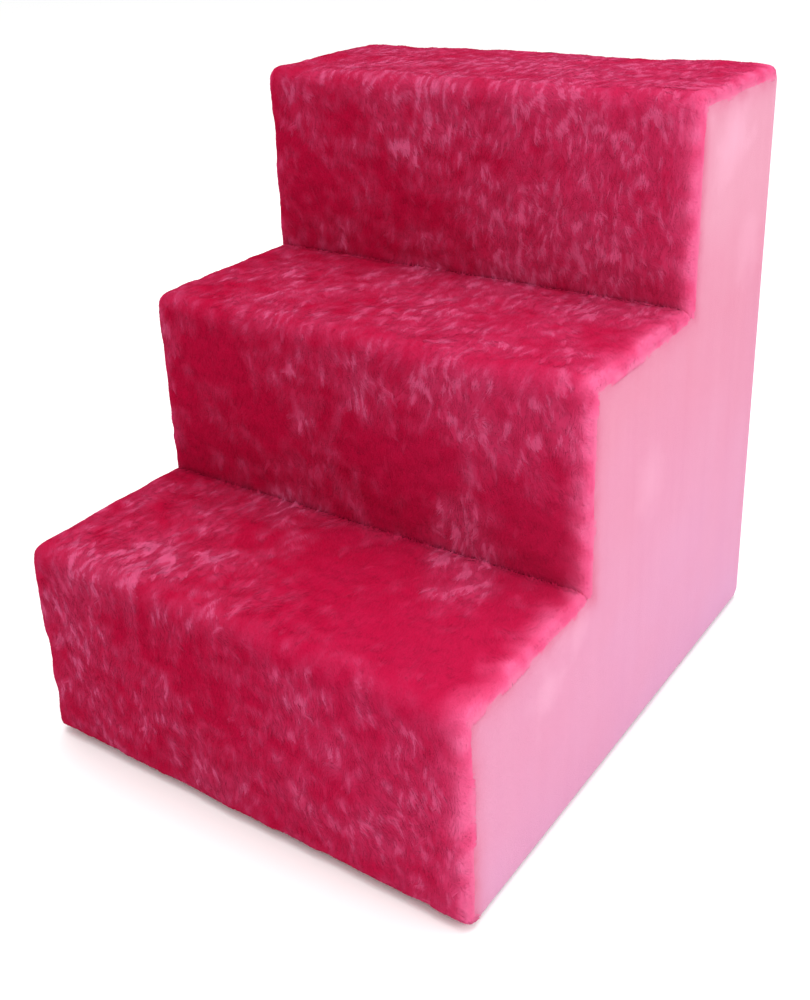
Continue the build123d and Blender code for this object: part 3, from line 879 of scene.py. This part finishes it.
hanging, lying = np.array((0.15, 0, -1)), np.array((0.2, -1, -0.7))
pile_count, lock_strands = ((28000, 11500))
for n in steps:
    skin_points = points_of(grounds[n])
    painted(grounds[n].data, "pile", tone(skin_points), lit_rim_tint(skin_points))
    draw = np.random.default_rng(100 + n)
    for where, wanted, base in (("riser", on_riser(n), hanging), ("tread", on_tread(n), lying)):
        pile = grow_underpile(f"{where}_pile_{n}", n, wanted, base, pile_count, draw)
        finish_piece(pile, "plush", pile_material)
        locks = grow_locks(f"{where}_locks_{n}", n, wanted, base, lock_strands, draw)
        finish_piece(locks, "plush", pile_material)

# %% [markdown]
# ## The foam under the plush
# A sheet of foam lies over each nosing and softens the boards. It is the same flat strip on a shorter path,
# and it takes the same slow lumps as the plush above it, so the two stay together. Where it sinks it would
# cut the boards, so it is drawn 3 mm thinner than the room that it has.

# %% Foam pads
foam_material = grained("foam", 0.95, (700, 3, 0.6), 0.0006, (206, 198, 176), (236, 230, 212))


def foam_path(n):
    """The outer side-view path of a foam sheet."""
    low, high = foam_low[n], foam_high[n]
    return rounded([(low.y, low.z), (low.y, high.z), (high.y, high.z)], [8 * mm])


for n in steps:
    length = length_of(foam_path(n))
    pad = flat_strip(f"foam_pad_{n}", foam_high[n].x - foam_low[n].x, length, 5 * mm)
    flat = points_of(pad)
    places = walk(foam_path(n), flat[:, 1] / length + 0.5)
    place_points(pad, np.column_stack([flat[:, 0], places]))
    use_modifier(pad, "DISPLACE", texture=lumps, texture_coords="LOCAL", strength=lump_height, mid_level=0.9)
    thicken(pad, foam - lump_height, 50)
    finish_piece(pad, "foam", foam_material, f"foam_wrap_{n}")

# %% [markdown]
# ## The covers' thickness
# The surface that carries the pile is the plush's outer face. Solidify adds the ground below it, and through
# a vertex group only a thin backing where the cover is tucked under the next riser. It comes after the pile,
# because the strands grow from a single surface.

# %% Give the covers their thickness
thin = 0.85 * backing / ground
for n in steps:
    thicken(grounds[n], ground, 50, vertex_group="thick", thickness_vertex_group=thin)
    finish_piece(grounds[n], "plush", ground_material, f"step_cover_{n}")
    path_length(n)

# %% [markdown]
# ## The side cloth's finish
# The sides carry a plain light-pink cloth with a short nap. It is cooler near the floor, a little streaked
# and pale in soft spots, one of them a painted pool of light, and painted shade turns it a deeper pink where
# it meets the plush and at the back edge.

# %% Side cloth material
side_finish = Finish(
    "side_cloth", 0.85, Sheen_Weight=0.35, Sheen_Roughness=0.5, Sheen_Tint=colour(255, 200, 225)
)
height = side_finish.maths("MULTIPLY", side_finish.axis(2), 2.2)
clouded = side_finish.maths("ADD", height, side_finish.maths("MULTIPLY", side_finish.noise(7, 3, 0.55), 0.5))
cloth_shade = side_finish.ramp(
    clouded, (0.2, colour(186, 126, 164)), (0.5, colour(188, 115, 147)), (0.85, colour(188, 103, 130)),
    (1.0, colour(192, 120, 142)),
)
streaks = side_finish.noise(1, 3, 0.6, 0, side_finish.stretched((70, 70, 5)))
streak_share = side_finish.maths("MULTIPLY", streaks, 0.12)
cloth_shade = side_finish.mix(streak_share, cloth_shade, colour(232, 180, 200))
uneven = side_finish.maths("ADD", side_finish.maths("MULTIPLY", side_finish.noise(45, 2), 1.8), 0.1)


def pale_spot(middle, radius, share):
    """Mixes a soft pale spot into the cloth's colour."""
    distance = side_finish.node("VectorMath")
    distance.operation = "DISTANCE"
    side_finish.feed(side_finish.place, distance.inputs[0])
    side_finish.feed(middle, distance.inputs[1])
    far = side_finish.maths("MULTIPLY", distance.outputs["Value"], uneven)
    fade = side_finish.node("MapRange", Value=far, From_Min=0, From_Max=radius, To_Min=share, To_Max=0)
    fade.interpolation_type = "SMOOTHSTEP"
    return side_finish.mix(fade.outputs["Result"], cloth_shade, colour(222, 164, 188))


# On the right side, in mm: how far back, how high and how wide a spot is, and then how strong.
# the first spot, high at the back, is a painted pool of light falling on the side
for y, z, radius, share in (
    (139, 415, 44, 0.35), (-86, 143, 22, 0.28), (-125, 119, 26, 0.26), (184, 325, 40, 0.2),
    (19, 202, 34, 0.18),
):
    cloth_shade = pale_spot((side_skin, y * mm, z * mm), radius * mm, share)
# painted shade: the cloth turns a deeper pink next to the plush and round the upright back corner
painted_shade_share = side_finish.maths("MULTIPLY", side_finish.attribute("rim")[0], uneven)
cloth_shade = side_finish.mix(painted_shade_share, cloth_shade, colour(184, 84, 116))
side_finish.bump(side_finish.noise(1400, 3), 0.0006, 0.6)
side_material = side_finish.coloured(cloth_shade)

# %% [markdown]
# ## The side cloth's shape
# The cloth is cut to the stepped edge, turned round the upright back corner and hemmed under the base. One
# flat sheet is cut out with the bisect tool and then folded. Over the wadding it lies a little in and out,
# but its cut edge lies still and is rolled in, so that the fringe of the plush covers it.

# %% Flat sheets
cloth = 1.8 * mm
turned = side_skin - back_half      # how far a side cloth runs on round the back corner
roll, roll_width = 1.2 * mm, 5 * mm     # how far the cut edge is rolled in, and over what width
sag_fade = 20 * mm                  # further in, the sag grows to its full size over this width


def flat_sheet(name, x_ends, y_ends, spacing):
    """A flat sheet between two values of x and two of y."""
    piece = flat_strip(name, x_ends[1] - x_ends[0], y_ends[1] - y_ends[0], spacing)
    middle = ((x_ends[0] + x_ends[1]) / 2, (y_ends[0] + y_ends[1]) / 2, 0)
    place_points(piece, points_of(piece) + middle)
    return piece


def bisect_along(piece, lines):
    """Cuts the sheet along straight lines, each given by a point and a direction across it."""
    for place, across in lines:
        edit_all(piece, bpy.ops.mesh.bisect, plane_co=place, plane_no=across)


def delete_faces(piece, unwanted):
    """Deletes the faces whose centre is unwanted."""
    select_only(piece)
    bpy.ops.object.mode_set(mode="EDIT")
    bpy.ops.mesh.select_mode(type="FACE")
    bpy.ops.mesh.select_all(action="DESELECT")
    bpy.ops.object.mode_set(mode="OBJECT")
    for polygon in piece.data.polygons:
        polygon.select = bool(unwanted(polygon.center))
    bpy.ops.object.mode_set(mode="EDIT")
    bpy.ops.mesh.delete(type="FACE")
    bpy.ops.object.mode_set(mode="OBJECT")


# %% Cut and fold the side cloth
def above_stairs(centre):
    """True above the stepped edge, on the flat sheet, whose x runs back and whose y runs up."""
    for n in steps:
        if centre[0] < cloth_front[n]:
            return centre[1] > (cloth_top[n - 1] if n > 1 else -1)
    return centre[1] > cloth_top[3]


def sag(points, side):
    """How far the cloth over the wadding lies in or out, by up to about a millimetre."""
    return 1.1 * mm * noise_at(np.column_stack([points * 14, np.full(len(points), side * 3)]))


def paint_shade_near_edges(sheet):
    """Marks where painted shade turns the cloth a deeper pink: near the plush and at the upright back edge.
    """
    points = points_of(sheet)
    shade_by_plush = 0.75 * np.exp(-np.clip(depth_of(points)[0] - 10 * mm, 0, None) / (7 * mm))
    on_side = np.clip((np.abs(points[:, 0]) - side_skin) / (10 * mm) + 1, 0, 1)
    shade_by_back = 0.35 * on_side * np.exp(-np.clip(back_skin - points[:, 1], 0, None) / (8 * mm))
    painted(sheet.data, "rim", np.maximum(shade_by_plush, shade_by_back))


def stepped_sheet(name, side, skin, thick, end, hem_under):
    """A sheet cut to the stepped profile. What is longer is bent round the back corner and under the base."""
    start = cloth_front[1]
    sheet = flat_sheet(name, (start, end), (cloth_foot - hem_under, cloth_top[3]), 5 * mm)
    cuts = [(n, inside) for n in steps for inside in (0, 2 * mm, roll_width)]
    bisect_along(sheet, [((cloth_front[n] + inside, 0, 0), (1, 0, 0)) for n, inside in cuts])
    bisect_along(sheet, [((0, cloth_top[n] - inside, 0), (0, 1, 0)) for n, inside in cuts])
    delete_faces(sheet, above_stairs)
    if hem_under:
        delete_faces(sheet, lambda c: c[1] < cloth_foot and (c[0] > back - 4 * mm or c[0] < start + hem))
    flat_area = sum(polygon.area for polygon in sheet.data.polygons)
    points = points_of(sheet)
    along_y, around = bent(points[:, 0], back_skin - corner_radius, corner_radius)
    under = np.clip(cloth_foot - points[:, 1], 0, None)
    z = np.maximum(points[:, 1], cloth_foot)
    depth = depth_of(np.stack([points[:, 0], along_y, z], 1))[0] - border
    calm = np.clip((depth - roll_width) / sag_fade, 0, 1)
    rolled = roll * np.clip(1 - depth / roll_width, 0, 1) ** 2
    loose = np.where((around == 0) & (under == 0), calm * sag(np.stack([along_y, z], 1), side), 0)
    place_points(sheet, np.stack([side * (skin - around - under + loose - rolled), along_y, z], 1))
    if side > 0:
        edit_all(sheet, bpy.ops.mesh.flip_normals)
    paint_shade_near_edges(sheet)
    thicken(sheet, thick, 40)
    return sheet, (end - start, cloth_top[3] - cloth_foot + hem_under), flat_area


# %% Wadding and cloth on the sides
wadding_material = grained("wadding", 1, (500, 5, 0.7, 1.5), 0.0008, (222, 222, 218), (248, 248, 246))
side_end = back_skin - corner_radius + corner_radius * math.pi / 2 + turned - corner_radius
wadding_thick = side_skin - cloth - board_half - 1.2 * mm
for name, side in (("left", -1), ("right", 1)):
    wadding, flat, flat_area = stepped_sheet(
        f"wadding_sheet_{name}", side, side_skin - cloth, wadding_thick, back, 0
    )
    finish_piece(wadding, "wadding", wadding_material, f"side_wadding_{name}")
    sheet, flat, flat_area = stepped_sheet(f"side_cloth_{name}", side, side_skin, cloth, side_end, hem)
    finish_piece(sheet, "side_cloth", side_material, f"side_cover_{name}")

# %% [markdown]
# ## The back and the base
# The back is a plain rectangle of the same cloth. It lies between the turned edges of the side cloths, and
# its lower edge goes under the base with theirs. A black non-woven sheet closes the base against dust.

# %% Back cloth and its wadding
back_top = cloth_top[3]
under_cloth = back_skin - cloth
for name, slot, material, node, skin, thick, low in (
    ("back_wadding_sheet", "wadding", wadding_material, "back_wadding", under_cloth, 2 * mm, cloth_foot),
    ("back_cloth", "side_cloth", side_material, "back_cover", back_skin, cloth, cloth_foot - hem),
):
    sheet = flat_sheet(name, (-back_half, back_half), (low, back_top), 5 * mm)
    points = points_of(sheet)
    under = np.clip(cloth_foot - points[:, 1], 0, None)
    z = np.maximum(points[:, 1], cloth_foot)
    calm = np.clip((back_top - z - roll_width) / sag_fade, 0, 1)
    loose = np.where(under == 0, calm * sag(np.stack([points[:, 0], z], 1), 2), 0)
    place_points(sheet, np.stack([-points[:, 0], skin - under + loose, z], 1))
    thicken(sheet, thick, 40)
    finish_piece(sheet, slot, material, node)

# %% Dust sheet
dust_material = grained("dust_cloth", 0.95, (900, 4, 0.7, 1), 0.0003, (16, 16, 18), (44, 44, 48))
dust_low, dust_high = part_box("dust_cover")
dust_thick = 0.5 * mm
dust = flat_sheet("dust_sheet", (dust_low.x, dust_high.x), (dust_low.y, dust_high.y), 8 * mm)
points = points_of(dust)
waves = 0.4 * mm * noise_at(points * 18)
points[:, 2] = dust_low.z + dust_thick + waves
place_points(dust, points * (-1, 1, 1))
thicken(dust, dust_thick, 40)
finish_piece(dust, "dust_cloth", dust_material, "dust_cover")

# %% [markdown]
# ## Wood, plastic and metal inside
# Nothing of the carcass shows once the stairs are covered, but it is there, and it is finished as it would be
# in the workshop: birch plywood with its plies across the thickness, pine with long grain, black plastic
# glides, and bright steel for the screws, nails and staples.

# %% Materials of the carcass
def plywood(name, thickness_axis, grain_axis):
    finish = Finish(name, 0.6)
    across = [110, 110, 110]
    across[grain_axis] = 7
    figure = finish.noise(1, 4, 0.6, 0.5, finish.stretched(across))
    wood = finish.ramp(figure, (0.3, colour(204, 168, 120)), (0.7, colour(230, 202, 158)))
    ply = finish.maths("SINE", finish.maths("MULTIPLY", finish.axis(thickness_axis), math.tau / (3 * mm)))
    plies = finish.ramp(ply, (0.2, colour(255, 250, 240)), (0.8, colour(196, 164, 128)))
    finish.bump(figure, 0.0002)
    return finish.coloured(finish.mix(0.8, wood, plies, "MULTIPLY"))


def pine(name, grain_axis):
    finish = Finish(name, 0.55)
    across = [160, 160, 160]
    across[grain_axis] = 9
    figure = finish.noise(1, 3, 0.5, 1.2, finish.stretched(across))
    finish.bump(figure, 0.0003)
    return finish.coloured(finish.ramp(figure, (0.35, colour(214, 164, 100)), (0.65, colour(238, 204, 148))))


def scuffed(name, roughness, dark, light, **sockets):
    return grained(name, roughness, (400, 4, 0.6), 0.0001, dark, light, **sockets)


def dress(material, *names):
    for name in names:
        nodes[name].material_slots[0].material = material
    print(material.name, "on", len(names), "nodes")


both = ("left", "right")
dress(plywood("plywood_sides", 0, 2), *[f"side_board_{side}" for side in both])
dress(plywood("plywood_treads", 2, 0), *[f"tread_board_{n}" for n in steps])
dress(plywood("plywood_risers", 1, 0), *[f"riser_board_{n}" for n in steps])
dress(plywood("plywood_back", 1, 2), "back_panel")
cleats = [f"tread_cleat_{side}_{n}" for side in both for n in steps]
dress(pine("pine_cleats", 1), *cleats, "base_rail_left", "base_rail_right")
dress(pine("pine_rails", 0), "base_rail_front", "base_rail_back")
glides = [f"glide_{end}_{side}" for end in ("front", "back") for side in both]
dress(scuffed("glide_plastic", 0.45, (20, 20, 22), (40, 40, 44)), *glides)
steel = scuffed("steel", 0.35, (150, 152, 156), (196, 198, 202), Metallic=1)
dress(steel, "glide_nails", "tread_screws", "cleat_screws", "rail_screws", "side_screws", "back_nails")
wire = scuffed("staple_wire", 0.3, (168, 170, 174), (214, 216, 220), Metallic=1)
dress(wire, "tuck_staples", "rim_staples", "hem_staples", "dust_staples")

# %% Floor, light and background
bpy.ops.mesh.primitive_plane_add(size=12, location=(0, 0, -0.0005))
floor = bpy.context.object
floor.name = "floor"
floor.data.materials.append(Finish("floor", 0.9, Base_Color=(0.97, 0.97, 0.97, 1)).material)

world = bpy.data.worlds.new("studio")
scene.world = world
world.use_nodes = True
world.node_tree.nodes["Background"].inputs["Color"].default_value = (1, 1, 1, 1)
world.node_tree.nodes["Background"].inputs["Strength"].default_value = 1.0


def softbox(name, place, aim, size, power):
    bpy.ops.object.light_add(type="AREA", location=place)
    light = bpy.context.object
    light.name = name
    light.data.shape = "SQUARE"
    light.data.size = size
    light.data.energy = power
    light.rotation_euler = (Vector(aim) - Vector(place)).to_track_quat("-Z", "Y").to_euler()


softbox("key", (1.25, -0.35, 0.8), (0, 0, 0.2), 0.7, 6.4)
softbox("top", (0.1, 0.2, 3.2), (0, 0, 0.2), 2.5, 63)
scene.view_settings.view_transform = "Standard"
